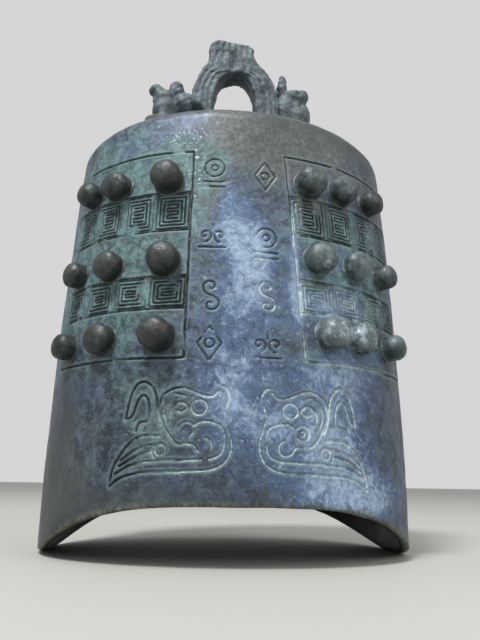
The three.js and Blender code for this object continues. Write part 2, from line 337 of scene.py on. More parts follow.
class LineField:
    """Distance to the nearest engraved line, on a raster over one face."""

    STEP = 0.14
    REACH = 2.2

    def __init__(self, lines):
        ends = np.vstack(lines)
        self.low = ends.min(axis=0) - 2 * self.REACH
        self.shape = np.ceil((ends.max(axis=0) + 2 * self.REACH - self.low) / self.STEP).astype(int) + 1
        self.grid = np.full(self.shape, self.REACH)
        for line in lines:
            for a, b in zip(line[:-1], line[1:]):
                self._draw(a, b)

    def _draw(self, a, b):
        first = np.floor((np.minimum(a, b) - self.REACH - self.low) / self.STEP).astype(int)
        last = np.ceil((np.maximum(a, b) + self.REACH - self.low) / self.STEP).astype(int) + 1
        ticks = [self.low[k] + self.STEP * np.arange(first[k], last[k]) for k in (0, 1)]
        x, z = np.meshgrid(*ticks, indexing="ij")
        along = b - a
        part = np.clip(((x - a[0]) * along[0] + (z - a[1]) * along[1]) / max(along @ along, 1e-9), 0, 1)
        away = np.hypot(x - a[0] - part * along[0], z - a[1] - part * along[1])
        window = self.grid[first[0]:last[0], first[1]:last[1]]
        np.minimum(window, away, out=window)

    def distance(self, arc, z):
        place = (np.stack([face_arc(arc), z], axis=-1) - self.low) / self.STEP
        inside = np.all((place >= 0) & (place < self.shape - 1.001), axis=-1)
        place = np.clip(place, 0, self.shape - 1.001)
        cell = place.astype(int)
        part = place - cell
        i, j, u, v = cell[..., 0], cell[..., 1], part[..., 0], part[..., 1]
        g = self.grid
        lower = (1 - u) * g[i, j] + u * g[i + 1, j]
        upper = (1 - u) * g[i, j + 1] + u * g[i + 1, j + 1]
        return np.where(inside, (1 - v) * lower + v * upper, self.REACH)


engraving = LineField(
    [line for side in (-1, 1) for line in panel_lines(side) + motif_lines(side)] + middle_signs()
)


# ---- mesh helpers ----
SHARP_ANGLE = math.radians(50)


def new_piece(name, vertices, quads, triangles):
    """A smooth-shaded object from vertices in millimetres and arrays of faces."""
    mesh = bpy.data.meshes.new(name)
    mesh.vertices.add(len(vertices))
    mesh.vertices.foreach_set("co", (np.asarray(vertices) * MM).astype(np.float32).ravel())
    mesh.loops.add(quads.size + triangles.size)
    corners = np.concatenate([quads.ravel(), triangles.ravel()])
    mesh.loops.foreach_set("vertex_index", corners.astype(np.int32))
    mesh.polygons.add(len(quads) + len(triangles))
    starts = np.concatenate([np.arange(len(quads)) * 4, quads.size + np.arange(len(triangles)) * 3])
    mesh.polygons.foreach_set("loop_start", starts.astype(np.int32))
    mesh.update(calc_edges=True)
    mesh.validate()
    mesh.shade_smooth()
    mesh.set_sharp_from_angle(angle=SHARP_ANGLE)
    piece = bpy.data.objects.new(name, mesh)
    bpy.context.scene.collection.objects.link(piece)
    return piece


def ring_faces(rings, count, wrap=False):
    """Quads of a stack of rings of count points each."""
    spans = rings if wrap else rings - 1
    r, i = np.meshgrid(np.arange(spans), np.arange(count), indexing="ij")
    after, beside = (r + 1) % rings, (i + 1) % count
    corners = [r * count + i, r * count + beside, after * count + beside, after * count + i]
    return np.stack(corners, axis=-1).reshape(-1, 4)


def finish_piece(piece, node, material):
    piece.data.materials.clear()
    piece.data.materials.append(material)
    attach(piece, "root")
    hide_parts(node)


def capped_tube(skin, rings, count, tip, base):
    """Vertices and faces of a stack of rings closed by a tip and a base."""
    i, last = np.arange(count), len(skin) - count
    beside, whole = (i + 1) % count, np.full(count, len(skin))
    fans = [np.stack([last + i, last + beside, whole], -1), np.stack([beside, i, whole + 1], -1)]
    return np.vstack([skin, tip, base]), ring_faces(rings, count), np.vstack(fans)


def vertex_vectors(mesh, key):
    vectors = np.empty(len(mesh.vertices) * 3, np.float32)
    mesh.vertices.foreach_get(key, vectors)
    return vectors.reshape(-1, 3).astype(float)


def mesh_points(mesh):
    return vertex_vectors(mesh, "co") / MM


def mesh_normals(mesh):
    return vertex_vectors(mesh, "normal")


def set_points(mesh, points):
    mesh.vertices.foreach_set("co", (points * MM).astype(np.float32).ravel())
    mesh.update()


# ---- relief of the cast wall ----
def wear(points, arc, z):
    """1 where the engraving is crisp, falling where it is rubbed and filled."""
    across = np.abs(face_arc(arc)) - PANEL_INNER
    patches = 0.1 + 0.9 * smoothstep(0.28, 0.42, layered_noise(points, 6.0, 41))
    between = smoothstep(0.3, 0.9, np.cos(2 * math.pi * across / SQUARE_WIDTH))
    outer = smoothstep(8.0, 20.0, across)
    band = sum(
        smoothstep(low - 1, low + 1, z) * smoothstep(high + 1, high - 1, z) for low, high in FRET_BANDS
    )
    strip = smoothstep(0.0, -1.5, across)
    return patches * (1 - 0.75 * between * outer * band) * (1 - 0.3 * strip)


def cast_unevenness(points):
    broad = layered_noise(points, 26.0, 7) - 0.5
    fine = layered_noise(points, 6.0, 11) - 0.5
    return 0.9 * broad + 0.32 * fine


def groove_share(arc, z):
    """1 on the floor of an engraved line, 0 away from it, slightly below 0 on its raised lips."""
    away = engraving.distance(arc, z)
    floor = 1 - smoothstep(GROOVE_CORE, GROOVE_REACH, away)
    lip = smoothstep(GROOVE_REACH - 0.1, GROOVE_REACH + 0.25, away) * (1 - smoothstep(0.95, 1.7, away))
    return floor - LIP_SHARE * lip


def wall_relief(arc, z, angle):
    """Wall points with unevenness and engraving, and the groove share."""
    base = wall_point(angle, z)
    normal = wall_normal(angle, z)
    jitter = 0.45 * (layered_noise(base, 5.0, 23) - 0.5)
    groove = groove_share(arc + jitter, z + jitter) * wear(base, arc, z)
    push = cast_unevenness(base) - GROOVE_DEPTH * groove
    return base + normal * push[..., None], groove


# ---- bell wall ----
COLUMNS, ROWS, FINE = 292, 110, 4
RIM_FILLET = 1.3
INNER_RINGS = 40
FILLET_TURNS = np.radians([30, 60, 90])


def lattice_point(column, row):
    """Arc, height and angle of fine-lattice places; the fine row 0 is just above the rim."""
    arc = GIRTH * (column / (COLUMNS * FINE) - 0.5)
    angle = angle_at(arc)
    low = rim_height(angle) + RIM_FILLET
    return arc, low + (seam_height(angle) - low) * row / (ROWS * FINE), angle


def adaptive_wall():
    """Outer wall: coarse cells, split FINE times across where lines are engraved."""
    i, j = np.meshgrid(np.arange(COLUMNS), np.arange(ROWS), indexing="ij")
    arc, z, _ = lattice_point((i + 0.5) * FINE, (j + 0.5) * FINE)
    split = (engraving.distance(arc, z) < 1.75) & (j > 0) & (j < ROWS - 1)
    wide = COLUMNS * FINE

    def place(column, row):
        return row * wide + column % wide

    def cells(ci, cj, size):
        corners = [(0, 0), (size, 0), (size, size), (0, size)]
        return np.stack([place(ci + x, cj + y) for x, y in corners], -1).reshape(-1, 4)

    di, dj = np.meshgrid(np.arange(FINE), np.arange(FINE), indexing="ij")
    quads = [cells(i[split][:, None] * FINE + di.ravel(), j[split][:, None] * FINE + dj.ravel(), 1)]
    triangles = []

    below = np.pad(split, ((0, 0), (1, 0)))[:, :-1]
    above = np.pad(split, ((0, 0), (0, 1)))[:, 1:]
    left, right = np.roll(split, 1, axis=0), np.roll(split, -1, axis=0)
    plain = ~split & ~below & ~above & ~left & ~right
    quads.append(cells(i[plain] * FINE, j[plain] * FINE, FINE))

    for a, b in np.argwhere(~split & ~plain):
        edge = []
        for (x, y), (dx, dy), fine in (
            ((0, 0), (1, 0), below[a, b]),
            ((FINE, 0), (0, 1), right[a, b]),
            ((FINE, FINE), (-1, 0), above[a, b]),
            ((0, FINE), (0, -1), left[a, b]),
        ):
            steps = range(FINE) if fine else (0,)
            edge += [place(a * FINE + x + dx * s, b * FINE + y + dy * s) for s in steps]
        centre = place(a * FINE + FINE // 2, b * FINE + FINE // 2)
        triangles += [(edge[k], edge[(k + 1) % len(edge)], centre) for k in range(len(edge))]
    return np.vstack(quads), np.array(triangles)


def closed_wall():
    quads, triangles = adaptive_wall()
    used = np.unique(np.concatenate([quads.ravel(), triangles.ravel()]))
    quads, triangles = np.searchsorted(used, quads), np.searchsorted(used, triangles)
    arc, z, angle = lattice_point(used % (COLUMNS * FINE), used // (COLUMNS * FINE))
    points, groove = wall_relief(arc, z, angle)

    # The seat, the inside and the rounded rim close the wall, ring by ring, back to row 0.
    _, top_z, ring_angle = lattice_point(np.arange(COLUMNS) * FINE, ROWS * FINE)
    rim = rim_height(ring_angle)
    rings = [wall_point(ring_angle, top_z, WALL)]
    for part in np.linspace(0, 1, INNER_RINGS)[1:]:
        rings.append(wall_point(ring_angle, top_z + (rim + RIM_FILLET - top_z) * part, WALL))
    for turn in FILLET_TURNS:
        inset = WALL - RIM_FILLET * (1 - math.cos(turn))
        rings.append(wall_point(ring_angle, rim + RIM_FILLET * (1 - math.sin(turn)), inset))
    for turn in FILLET_TURNS[::-1]:
        inset = RIM_FILLET * (1 - math.cos(turn))
        rings.append(wall_point(ring_angle, rim + RIM_FILLET * (1 - math.sin(turn)), inset))
    extra = np.vstack(rings)
    extra += (layered_noise(extra, 9.0, 5) - 0.5)[:, None] * 0.5 * np.array([1, 1, 0.8])

    top_row = np.searchsorted(used, ROWS * FINE * COLUMNS * FINE + np.arange(COLUMNS) * FINE)
    low_row = np.searchsorted(used, np.arange(COLUMNS) * FINE)
    between = len(points) + np.arange(len(extra)).reshape(-1, COLUMNS)
    stack = np.vstack([top_row[None], between, low_row[None]])
    beside = np.roll(stack, -1, axis=1)
    closing = np.stack([stack[:-1], beside[:-1], beside[1:], stack[1:]], -1).reshape(-1, 4)
    everything = np.vstack([points, extra])
    grooves = np.concatenate([groove, np.zeros(len(extra))])
    return everything, np.vstack([quads, closing]), triangles, grooves


# ---- crown ----
def crown_mesh():
    arcs = GIRTH * (np.arange(COLUMNS) / COLUMNS - 0.5)
    angle = angle_at(arcs)
    across = oval(angle, 1, 1)[0]
    edge = CROWN_EDGE_HEIGHT - CROWN_EDGE_DROP * across**2
    seam = seam_height(angle)

    def dome_ring(share, drop=0.0):
        x, y = oval(angle, CROWN_HALF_WIDTH * share, CROWN_HALF_DEPTH * share)
        return np.stack([x, y, crown_height(x, y) - drop], axis=-1)

    mean_half_width = 61
    dome_edge = 1 - 1.15 * SHOULDER_RADIUS / mean_half_width
    foot = edge - SHOULDER_RADIUS
    outer = [wall_point(angle, seam + (foot - seam) * part) for part in np.linspace(0, 1, 4)]
    corner = wall_point(angle, edge)
    start, end = outer[-1], dome_ring(dome_edge)
    for part in np.linspace(0, 1, 8)[1:-1]:
        outer.append((1 - part) ** 2 * start + 2 * part * (1 - part) * corner + part**2 * end)
    outer += [dome_ring(share) for share in np.linspace(dome_edge, 0.04, 46)]
    inner = [dome_ring(share, CROWN_THICKNESS) for share in np.linspace(0.04, 0.93, 16)]
    inner.append(wall_point(angle, seam, WALL))

    skin = np.vstack(outer)
    normals = grid_normals(skin.reshape(-1, COLUMNS, 3)).reshape(-1, 3)
    skin = skin + normals * cast_unevenness(skin)[:, None]
    points = np.vstack([skin] + inner)
    ends = np.array([[0, 0, crown_height(0, 0)], [0, 0, crown_height(0, 0) - CROWN_THICKNESS]])
    rings = len(outer) + len(inner)
    quads = ring_faces(rings, COLUMNS, wrap=True)
    i = np.arange(COLUMNS)
    last = (len(outer) - 1) * COLUMNS
    bridge = (quads[:, 0] >= last) & (quads[:, 0] < last + COLUMNS)
    first_inner = last + COLUMNS
    top, low = len(points), len(points) + 1
    fans = [np.stack([last + i, last + (i + 1) % COLUMNS, np.full(COLUMNS, top)], -1)]
    fans.append(np.stack([first_inner + (i + 1) % COLUMNS, first_inner + i, np.full(COLUMNS, low)], -1))
    return np.vstack([points, ends]), quads[~bridge], np.vstack(fans)


def grid_normals(rings):
    """Outward normals of a stack of closed rings, shaped (rings, count, 3)."""
    around = np.roll(rings, -1, axis=1) - np.roll(rings, 1, axis=1)
    upward = np.gradient(rings, axis=0)
    normal = np.cross(around, upward)
    return normal / np.maximum(np.linalg.norm(normal, axis=-1, keepdims=True), 1e-9)


# ---- bosses ----
BOSS_PROFILE = (  # share of the radius, share of the height: a rounded knob with nearly straight sides
    (1.05, 0.0), (0.97, 0.05), (0.95, 0.16), (0.955, 0.3), (0.975, 0.45), (0.97, 0.56), (0.94, 0.66),
    (0.88, 0.75), (0.79, 0.83), (0.67, 0.895), (0.52, 0.945), (0.35, 0.978), (0.18, 0.995), (0.04, 1.0),
)


def boss_mesh(angle, height, size, seed):
    """A rounded knob standing on the wall; each casting differs a little."""
    count = 64
    vary = np.random.RandomState(seed)
    spot = wall_point(np.array([angle]), np.array([height]))[0]
    out = wall_normal(np.array([angle]), np.array([height]))[0]
    beside = np.cross((0, 0, 1), out)
    beside /= np.linalg.norm(beside)
    up = np.cross(out, beside)
    profile = smooth_line(BOSS_PROFILE, steps=4)
    turn = np.linspace(0, 2 * math.pi, count, endpoint=False)
    lean = vary.uniform(-0.45, 0.45, 2)
    squash = 1 + vary.uniform(-0.03, 0.03)
    tall = size[1] * (1 + vary.uniform(-0.05, 0.02))
    rings = []
    for share, rise in profile:
        radius = size[0] * share * (1 + 0.012 * np.cos(2 * turn + vary.uniform(0, 0.4)))
        a = radius * np.cos(turn) * squash + lean[0] * rise
        b = radius * np.sin(turn) / squash + lean[1] * rise
        rings.append(spot + a[:, None] * beside + b[:, None] * up + out * tall * rise)
    foot = rings[0] - out * 1.6
    rings = np.array([foot] + rings)
    skin = rings.reshape(-1, 3)
    rough = (layered_noise(skin, 2.6, 61) - 0.5) * 0.34 + (layered_noise(skin, 7.0, 63) - 0.5) * 0.5
    skin = skin + grid_normals(rings).reshape(-1, 3) * rough[:, None]
    tip = skin[-count:].mean(axis=0) + out * 0.05
    base = skin[:count].mean(axis=0)
    return capped_tube(skin, len(rings), count, tip, base)


# ---- plinth ----
def plinth_mesh():
    count = 240
    turn = np.linspace(0, 2 * math.pi, count, endpoint=False)
    flat_x = signed_power(np.sin(turn), PLINTH_CORNERS[0])
    flat_y = -signed_power(np.cos(turn), PLINTH_CORNERS[1])

    def outline(scale, height=None, drop=0.0):
        x, y = PLINTH_HALF_LENGTH * flat_x * scale, PLINTH_HALF_DEPTH * flat_y * scale
        z = crown_height(x, y) - drop if height is None else np.full(count, height)
        return np.stack([x, y, z], axis=-1)

    foot, shelf = outline(PLINTH_FLARE * 1.02, drop=0.5), outline(0.992, PLINTH_TOP - 1.4)
    rings = [outline(0.5, drop=0.6), foot]
    for part in np.linspace(0, 1, 14)[1:]:
        ring = foot + (shelf - foot) * part
        ring[:, :2] = foot[:, :2] + (shelf[:, :2] - foot[:, :2]) * part**0.45
        rings.append(ring)
    for sink, scale in ((0.9, 0.988), (0.45, 0.978), (0.15, 0.965), (0.0, 0.945)):
        rings.append(outline(scale, PLINTH_TOP - sink))
    rings += [outline(scale, PLINTH_TOP) for scale in np.linspace(0.9, 0.04, 22)]
    rings = np.array(rings)
    skin = rings.reshape(-1, 3)
    rough = (layered_noise(skin, 5.0, 71) - 0.5) * 0.7 + (layered_noise(skin, 14.0, 75) - 0.5) * 0.9
    normals = grid_normals(rings)
    normals[-20:] = (0, 0, 1)
    skin = skin + normals.reshape(-1, 3) * rough[:, None]
    return capped_tube(skin, len(rings), count, skin[-count:].mean(axis=0), skin[:count].mean(axis=0))


# ---- castings shaped from joined volumes ----
def add_ellipsoid(middle, radii):
    """A ball stretched to three radii, in millimetres."""
    bpy.ops.mesh.primitive_uv_sphere_add(segments=40, ring_count=24, radius=1)
    ball = bpy.context.object
    ball.scale = [r * MM for r in radii]
    ball.location = [c * MM for c in middle]
    return ball


def add_slab(outline, depth, round_over=1.3):
    """A flat outline in (x, z), extruded about y = 0 with rounded edges."""
    curve = bpy.data.curves.new("slab", "CURVE")
    curve.dimensions = "2D"
    spline = curve.splines.new("POLY")
    spline.points.add(len(outline) - 1)
    for point, (x, z) in zip(spline.points, outline):
        point.co = (x * MM, z * MM, 0, 1)
    spline.use_cyclic_u = True
    curve.fill_mode = "BOTH"
    curve.extrude = (depth / 2 - round_over) * MM
    curve.bevel_depth = round_over * MM
    curve.bevel_resolution = 3
    curve.offset = -round_over * MM
    slab = bpy.data.objects.new("slab", curve)
    bpy.context.scene.collection.objects.link(slab)
    slab.rotation_euler = (math.pi / 2, 0, 0)
    bpy.context.view_layer.objects.active = slab
    bpy.ops.object.select_all(action="DESELECT")
    slab.select_set(True)
    bpy.ops.object.convert(target="MESH")
    return bpy.context.object


def cast_together(name, parts, voxel, smooth_factor, smooth_steps):
    """Joins closed volumes into one skin and softens where they meet."""
    bpy.ops.object.select_all(action="DESELECT")
    for part in parts:
        part.select_set(True)
    bpy.context.view_layer.objects.active = parts[0]
    bpy.ops.object.join()
    casting = bpy.context.object
    casting.name = casting.data.name = name
    bpy.ops.object.transform_apply(location=True, rotation=True, scale=True)
    remesh = casting.modifiers.new("skin", "REMESH")
    remesh.mode, remesh.voxel_size, remesh.use_smooth_shade = "VOXEL", voxel * MM, True
    smooth = casting.modifiers.new("soften", "SMOOTH")
    smooth.factor, smooth.iterations = smooth_factor, smooth_steps
    for modifier in ("skin", "soften"):
        bpy.ops.object.modifier_apply(modifier=modifier)
    return casting


def reshape(casting, displacement):
    """Moves the skin along its normals by displacement(points, normals), in millimetres."""
    points, normals = mesh_points(casting.data), mesh_normals(casting.data)
    set_points(casting.data, points + normals * displacement(points, normals)[:, None])
    casting.data.shade_smooth()


def eye_outline():
    """The loop's opening, from the left foot over the top to the right foot."""
    foot, top = PLINTH_TOP + 0.3, PLINTH_TOP + EYE_HEIGHT
    t = np.linspace(0, 1, 25)[:, None]
    bend = [np.array(p) for p in ((-EYE_HALF_WIDTH, foot), (-EYE_HALF_WIDTH, top - 6), (-7, top), (0, top))]
    weights = (1 - t) ** 3, 3 * t * (1 - t) ** 2, 3 * t**2 * (1 - t), t**3
    left = sum(weight * point for weight, point in zip(weights, bend))
    return np.vstack([left, (left * [-1, 1])[::-1][1:]])


def loop_outer_outline():
    """The loop's outer edge from the right foot round to the left, and the gap at its left foot."""
    foot = PLINTH_TOP - 0.2
    right = [
        (LOOP_HALF_SPAN, foot), (LOOP_HALF_SPAN, foot + 6), (22.6, foot + 12), (21.6, foot + 19.5),
        (18.9, foot + 27.5), (15.0, foot + 33.4), (10.8, foot + 38.4), (9.4, foot + 42.0), (9.6, foot + 45.6),
        (7.4, LOOP_TOP - 1.4), (2.0, LOOP_TOP - 1.0),
    ]
    left = [
        (-3.5, LOOP_TOP - 0.2), (-9.0, LOOP_TOP - 0.4), (-12.6, LOOP_TOP - 2.0), (-13.6, LOOP_TOP - 5.5),
        (-13.4, foot + 38.6), (-17.2, foot + 31.0), (-20.4, foot + 23.4), (-22.0, foot + 16.6),
        (-22.6, foot + 11.6),
    ]
    hollow = [(-19.4, foot + 11.4), (-16.4, foot + 9.6), (-14.8, foot + 5.4), (-14.4, foot)]
    return smooth_line(right + left, steps=5), smooth_line(hollow, steps=5)


def loop_casting():
    """The loop, modelled as strands that rise along both legs and meet over the opening."""
    outer, hollow = loop_outer_outline()
    eye = eye_outline()
    slab = add_slab(np.vstack([outer, hollow, eye]), LOOP_DEPTH)
    casting = cast_together("loop_casting", [slab], 0.5, 0.5, 3)
    top, middle = PLINTH_TOP + EYE_HEIGHT, -0.8
    flank = outer[outer[:, 0] > 0]
    flank = flank[np.argsort(flank[:, 1])]
    half_eye = eye[: len(eye) // 2 + 1]

    def modelling(points, normals):
        x, y, z = points.T
        wider = np.where(x < middle, 3.0, 1.0) * smoothstep(top, top + 8, z)
        outside = np.interp(z, flank[:, 1], flank[:, 0]) + wider
        inside = np.interp(z, half_eye[:, 1], -half_eye[:, 0])
        across = (np.abs(x - middle) - inside) / (outside - inside)
        wander = 1.5 * (layered_noise(points * [1.6, 1.0, 0.45], 9.0, 81) - 0.5)
        strands = np.cos(2 * math.pi * (3.7 * across + wander))
        strands = strands + 0.45 * np.cos(2 * math.pi * (8.3 * across + 2 * wander))
        uneven = 0.25 + 1.1 * layered_noise(points, 6.5, 85)
        face = smoothstep(0.3, 0.8, np.abs(normals[:, 1]))
        relief = 0.32 * strands * uneven * (0.3 + 0.7 * face) * smoothstep(PLINTH_TOP + 2, PLINTH_TOP + 9, z)
        notch = np.exp(-((x - middle) ** 2 / 4.5 + (z - top - 4.6) ** 2 / 12.0)) * face
        cleft = np.exp(-((x - middle) ** 2) / 1.6) * smoothstep(top, top + 3, z)
        cleft = cleft * (1 - smoothstep(top + 8, top + 14, z))
        lumps = 1.9 * (layered_noise(points, 8.0, 83) - 0.5) + 0.9 * (layered_noise(points, 2.8, 87) - 0.5)
        return relief - 1.2 * notch - 0.7 * cleft * face + lumps

    reshape(casting, modelling)
    return casting


def beast_casting(name, side, parts, details):
    """A crouching beast looking outward; x is given for the left one and mirrored by side."""
    foot = PLINTH_TOP - 0.3
    balls = [add_ellipsoid((side * x, y, PLINTH_TOP + z), radii) for x, y, z, *radii in parts]
    casting = cast_together(name, balls, 0.42, 0.5, 26)
    points = mesh_points(casting.data)
    inner = LOOP_HALF_SPAN - 1.5
    points[:, 2] = np.maximum(points[:, 2], foot)
    points[:, 0] = np.where(side < 0, np.minimum(points[:, 0], -inner), np.maximum(points[:, 0], inner))
    set_points(casting.data, points)

    def modelling(points, normals):
        x, y, z = side * points[:, 0], np.abs(points[:, 1]), points[:, 2] - PLINTH_TOP
        push = np.zeros(len(points))
        for cx, cy, cz, radius, height in details:
            away = (x - cx) ** 2 + (y - cy) ** 2 + (z - cz) ** 2
            push += height * np.exp(-away / radius**2)
        mane = np.cos(2 * math.pi * (z + 0.7 * (x - 30)) / 3.4) * (1 - smoothstep(29, 33, x))
        mane = mane * smoothstep(8, 12, z)
        legs = np.exp(-(y**2) / 1.6) * (1 - smoothstep(4, 8, z)) * smoothstep(34, 37, x)
        lumps = 1.1 * (layered_noise(points, 6.0, 93) - 0.5) + 0.4 * (layered_noise(points, 2.4, 97) - 0.5)
        return push + 0.09 * mane - 0.9 * legs + lumps

    reshape(casting, modelling)
    return casting


# Rounded volumes as (outward x, y, height above the plinth, three radii).
LEFT_BEAST = (
    (39.9, 0, 20.3, 3.6, 4.3, 3.1),  # muzzle
    (34.4, 0, 15.3, 7.0, 5.8, 4.8), (37.6, 0, 17.4, 3.8, 4.9, 4.4),  # head and cheeks
    (34.5, 0, 9.0, 6.6, 6.2, 9.2),  # neck and chest
    (34.4, 0, 1.6, 6.6, 6.8, 4.0),  # forefeet
    (29.4, -2.6, 20.2, 3.8, 2.7, 4.8), (29.4, 2.6, 20.2, 3.8, 2.7, 4.8),  # ears
    (25.0, 0, 13.4, 7.5, 5.8, 6.6),  # back
)
RIGHT_BEAST = (
    (35.4, 0, 23.0, 3.3, 4.2, 3.5),
    (30.4, 0, 20.8, 6.6, 5.6, 5.0), (34.2, 0, 20.4, 3.6, 4.9, 4.6),
    (33.0, 0, 10.5, 6.3, 6.2, 10.5),
    (32.8, 0, 1.8, 6.8, 6.8, 4.0),
    (24.6, -2.6, 27.0, 2.6, 2.3, 6.4), (24.6, 2.6, 27.0, 2.6, 2.3, 6.4),
    (26.5, 0, 11.0, 6.5, 6.0, 12.5),
)
# Dents and swellings as (outward x, y to both sides, height, reach, rise).
LEFT_DETAILS = (
    (36.8, 5.0, 19.0, 1.3, -0.8), (36.0, 4.6, 21.2, 1.5, 0.6),  # eye and brow
    (29.4, 5.2, 21.0, 1.6, -0.7), (42.6, 1.8, 21.2, 0.9, -0.5), (41.0, 3.0, 16.4, 1.8, -0.9),
    (31.0, 6.4, 7.0, 2.4, -0.8), (36.5, 6.0, 4.5, 2.2, 0.6),
)
RIGHT_DETAILS = (
    (33.0, 5.2, 22.0, 1.3, -0.8), (32.2, 4.8, 24.4, 1.5, 0.6),
    (24.4, 4.6, 27.4, 1.3, -0.5), (37.8, 1.8, 24.4, 0.9, -0.5), (34.6, 5.2, 16.0, 2.5, -2.0),
    (38.2, 3.0, 18.8, 1.5, -0.9), (28.5, 6.4, 7.0, 2.4, -0.8), (35.0, 6.0, 4.5, 2.2, 0.6),
)


# ---- where each stain, painted glint and painted shade lies ----
# (arc, height, reach along the arc, reach in height, strength) on the front; the back carries the
# same list turned half a turn and shifted, so that no side is left plain.
STAIN_AND_LIGHT_SPOTS = {
    "pale": (
        (-4, 122, 9, 14, 0.8), (5, 110, 9, 12, 0.8), (0, 92, 14, 16, 0.7), (20, 104, 3, 30, 0.6),
        (6, 48, 24, 18, 0.45), (4, 70, 20, 12, 0.15), (-6, 60, 12, 18, 0.5), (34, 40, 22, 16, 0.7),
        (40, 66, 18, 12, 0.8), (36, 92, 18, 9, 0.75), (44, 22, 26, 10, 0.85), (40, 112, 16, 8, 0.5),
        (36, 142, 16, 10, 0.4), (-34, 30, 30, 10, 0.1), (-46, 160, 26, 12, 0.35),
    ),
    "green": (
        (104, 120, 26, 34, 0.6), (-104, 70, 26, 34, 0.55), (-50, 105, 34, 40, 1.0),
        (-30, 135, 20, 20, 0.8), (-28, 45, 20, 20, 0.5), (50, 112, 30, 26, 0.6),
        (-14, 151, 14, 10, 0.6), (38, 100, 24, 34, 0.75), (40, 71, 24, 8, 0.5), (-30, 18, 40, 6, 0.6),
        (-60, 160, 30, 14, 0.6),
    ),
    "brown": (
        (98, 40, 26, 24, 0.6), (-100, 148, 24, 22, 0.6), (6, 155, 26, 14, 0.75),
        (34, 147, 26, 16, 0.75), (-58, 42, 26, 24, 0.45), (-66, 20, 24, 12, 0.6),
        (0, 186, 200, 10, 0.6), (46, 176, 44, 14, 1.0), (10, 172, 24, 12, 0.8), (70, 130, 14, 30, 0.5),
        (30, 122, 16, 22, 0.5), (-12, 124, 4, 22, 0.7),
    ),
    "chalk": (
        (-22, 40, 22, 20, 0.7), (24, 40, 26, 20, 0.95), (46, 92, 26, 9, 0.75), (52, 74, 24, 9, 0.7),
        (22, 112, 4, 44, 0.6), (13, 92, 8, 12, 0.5), (-16, 116, 5, 20, 0.4),
    ),
    # painted highlight: pale specks standing in for glints of light near the strip's left edge and on the
    # crown
    "glint": (
        (-19, 146, 5, 16, 1.0), (-24, 160, 14, 5, 0.8), (-18, 118, 3, 20, 0.5), (0, 60, 30, 40, 0.25),
    ),
    "dust": (
        (32, 108, 30, 14, 0.85), (38, 79, 34, 16, 1.0), (30, 141, 26, 12, 0.5),
    ),
    # painted shade: darker towards the rim at the lower left and along the bottom; the spots higher up are
    # darker patches
    "dark_patches_and_shade": (
        (-46, 12, 44, 14, 1.2), (40, 174, 44, 14, 0.95), (-95, 30, 30, 30, 0.5),
        (66, 150, 10, 30, 0.5), (-24, 46, 22, 16, 0.35), (-72, 50, 14, 40, 0.5), (20, 72, 14, 8, 0.5),
        (2, 18, 20, 8, 0.4),
    ),
}


def spot_mask(arc, z, spots):
    total = np.zeros(len(z))
    for turned, shift, weight in ((0, 0, 1.0), (GIRTH / 2, 12, 0.85)):
        for s, height, reach_s, reach_z, strength in spots:
            away = (arc - s - turned - shift + GIRTH / 2) % GIRTH - GIRTH / 2
            total += weight * strength * np.exp(-((away / reach_s) ** 2) - ((z - height) / reach_z) ** 2)
    return np.clip(total, 0, 1)


def oval_place(points):
    """Sine and cosine of the oval's parameter for the wall place in line with each point."""
    x = signed_power(points[:, 0] / half_width(points[:, 2]), OVAL_POWER / 2)
    y = signed_power(points[:, 1] / half_depth(points[:, 2]), OVAL_POWER / 2)
    return x, -y


def surface_arc(points):
    """Arc of the wall place in line with each point, seen from the bell's axis."""
    return np.interp(np.arctan2(*oval_place(points)), _angles, _arcs)


def cavity(mesh, points, normals, steps=6, reach=0.25):
    """1 in hollows, 0 on ridges, 0.5 on flat ground; reach is the sink in millimetres taken as full."""
    edges = np.empty(len(mesh.edges) * 2, np.int32)
    mesh.edges.foreach_get("vertices", edges)
    a, b = edges.reshape(-1, 2).T
    count = np.bincount(a, minlength=len(points)) + np.bincount(b, minlength=len(points))
    soft = points.copy()
    for _ in range(steps):
        sums = [
            np.bincount(a, soft[b, k], len(points)) + np.bincount(b, soft[a, k], len(points))
            for k in range(3)
        ]
        total = np.stack(sums, -1)
        soft = 0.5 * soft + 0.5 * total / np.maximum(count, 1)[:, None]
    sink = np.sum((soft - points) * normals, axis=1)
    return np.clip(0.5 + 0.5 * sink / reach, 0, 1)


def add_attribute(mesh, name, values):
    layer = mesh.attributes.new(name, "FLOAT", "POINT")
    layer.data.foreach_set("value", np.asarray(values, np.float32))


def add_stain_and_light_masks(piece, reach=0.25, steps=6, hollow=None):
    points, normals = mesh_points(piece.data), mesh_normals(piece.data)
    arc = surface_arc(points)
    if hollow is None:
        hollow = cavity(piece.data, points, normals, steps, reach)
    add_attribute(piece.data, "cavity", hollow)
    for name, spots in STAIN_AND_LIGHT_SPOTS.items():
        add_attribute(piece.data, name, spot_mask(arc, points[:, 2], spots))
    # marks the inner wall, which the body's finish paints near black as painted shade
    inner = np.sum(normals[:, :2] * points[:, :2], axis=1) < 0
    add_attribute(piece.data, "inside", inner & (points[:, 2] < CROWN_EDGE_HEIGHT + 10))


